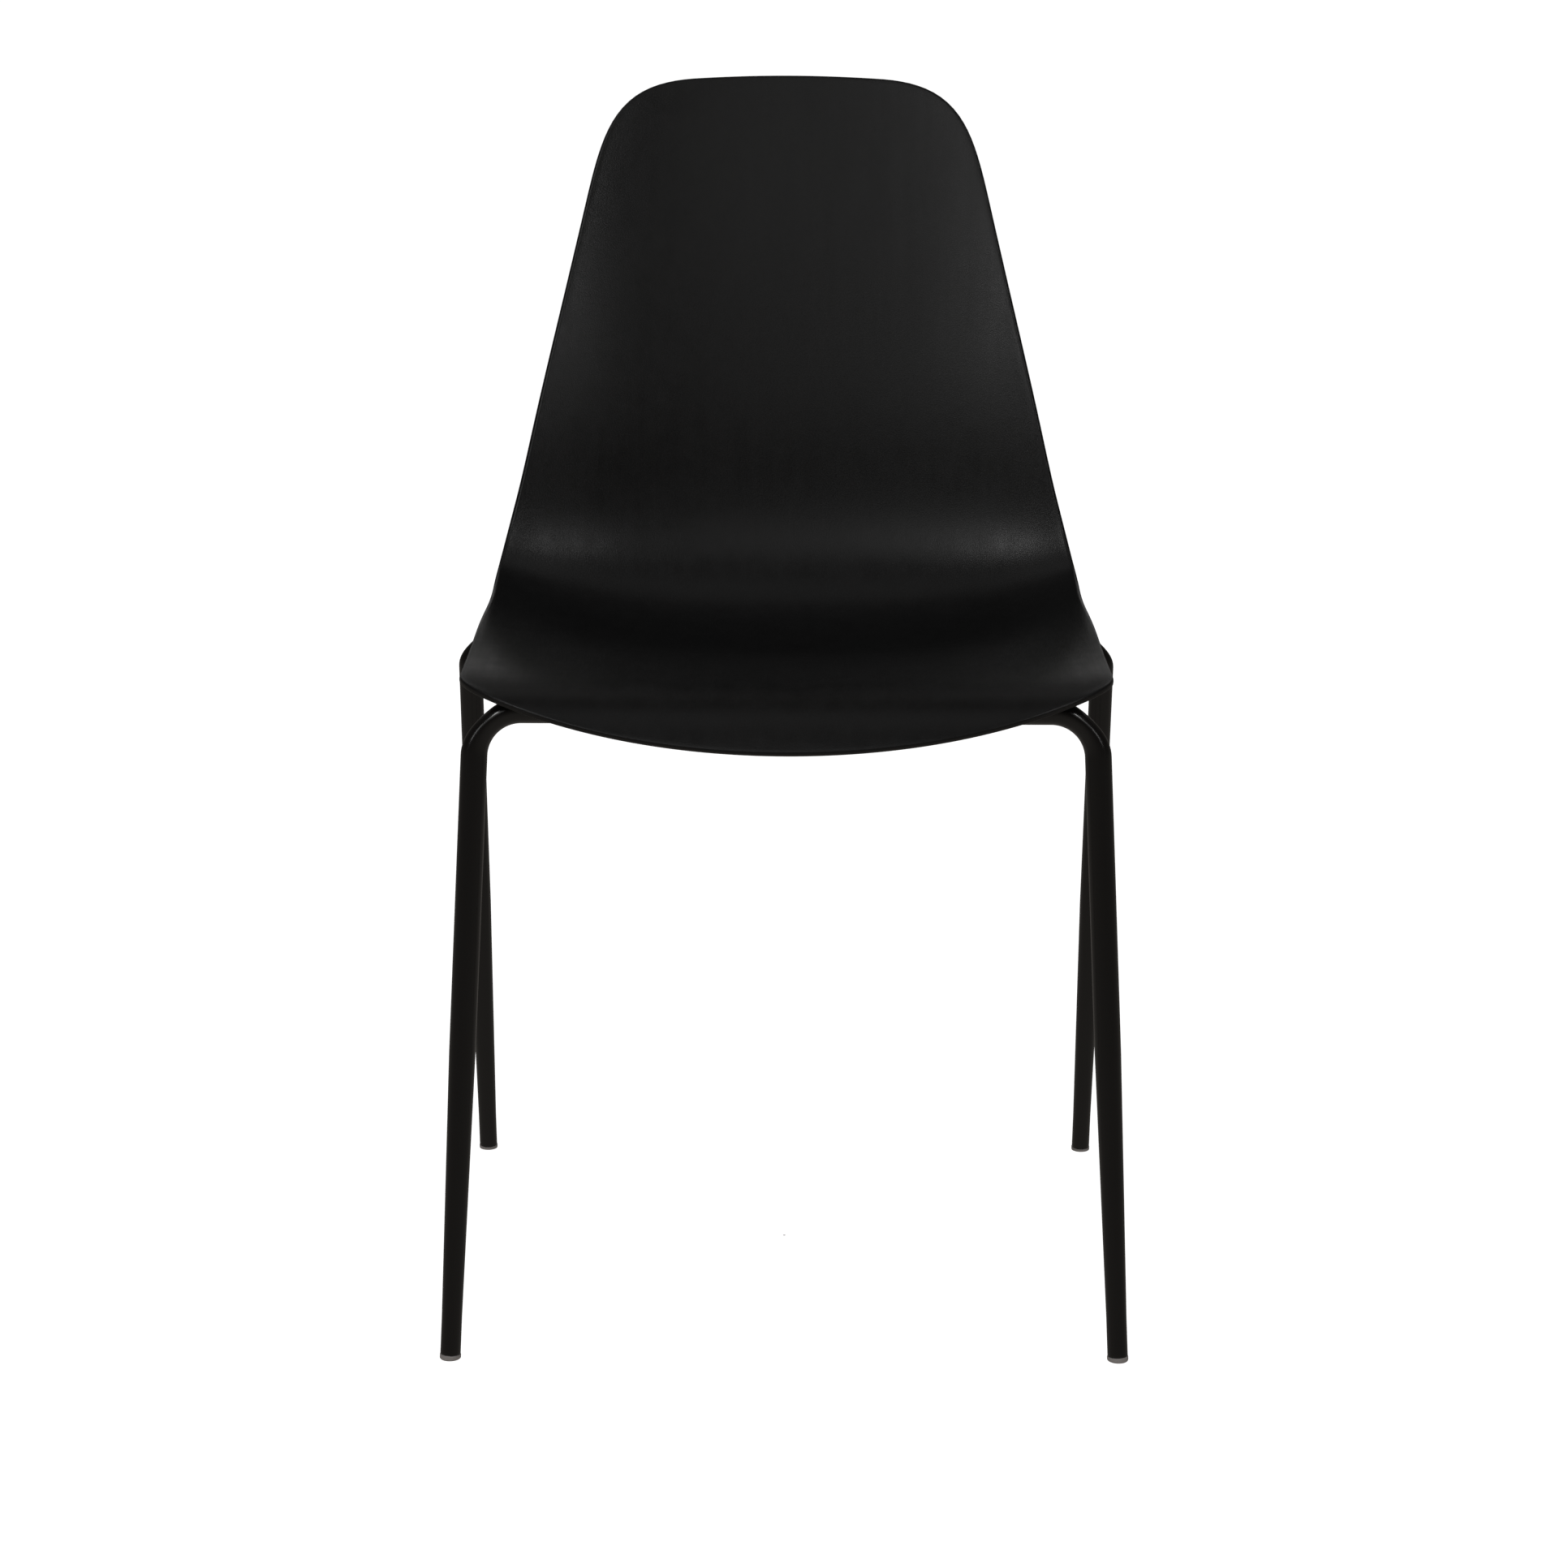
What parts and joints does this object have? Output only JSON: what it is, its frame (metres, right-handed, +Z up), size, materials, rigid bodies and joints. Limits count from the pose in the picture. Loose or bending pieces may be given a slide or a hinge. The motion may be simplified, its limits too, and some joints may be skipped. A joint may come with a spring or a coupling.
{
  "type": "stacking chair",
  "caption": "Armless stacking chair: one-piece moulded shell with a tapering back, on bent steel tube leg hoops joined by under-seat rails, with plastic glides.",
  "frame": {"origin": "on the floor, at the middle of the chair's outer box", "axes": "+Z up, the sitter faces -Y, +X across the chair; the chair is symmetric about X = 0"},
  "size_m": [0.506, 0.5476, 0.8547],
  "materials": {
    "shell_plastic": "fine moulded satin texture, black",
    "powder_coated_steel": "satin black powder coat on steel tube",
    "zinc_plated_steel": "bright zinc plating",
    "insert_brass": "machined brass",
    "bumper_rubber": "matt black rubber",
    "glide_plastic": "pale grey moulded nylon"
  },
  "bodies": {
    "root": {"seat_shell": "shell_plastic", "front_leg_hoop": "powder_coated_steel", "rear_leg_hoop": "powder_coated_steel", "right_seat_rail": "powder_coated_steel", "left_seat_rail": "powder_coated_steel", "front_right_mounting_tab": "powder_coated_steel", "front_right_mounting_screw": "zinc_plated_steel", "front_right_washer": "zinc_plated_steel", "front_right_threaded_insert": "insert_brass", "front_right_stacking_bumper": "bumper_rubber", "front_right_glide": "glide_plastic", "front_left_mounting_tab": "powder_coated_steel", "front_left_mounting_screw": "zinc_plated_steel", "front_left_washer": "zinc_plated_steel", "front_left_threaded_insert": "insert_brass", "front_left_stacking_bumper": "bumper_rubber", "front_left_glide": "glide_plastic", "rear_right_mounting_tab": "powder_coated_steel", "rear_right_mounting_screw": "zinc_plated_steel", "rear_right_washer": "zinc_plated_steel", "rear_right_threaded_insert": "insert_brass", "rear_right_stacking_bumper": "bumper_rubber", "rear_right_glide": "glide_plastic", "rear_left_mounting_tab": "powder_coated_steel", "rear_left_mounting_screw": "zinc_plated_steel", "rear_left_washer": "zinc_plated_steel", "rear_left_threaded_insert": "insert_brass", "rear_left_stacking_bumper": "bumper_rubber", "rear_left_glide": "glide_plastic"}
  },
  "joints": []
}
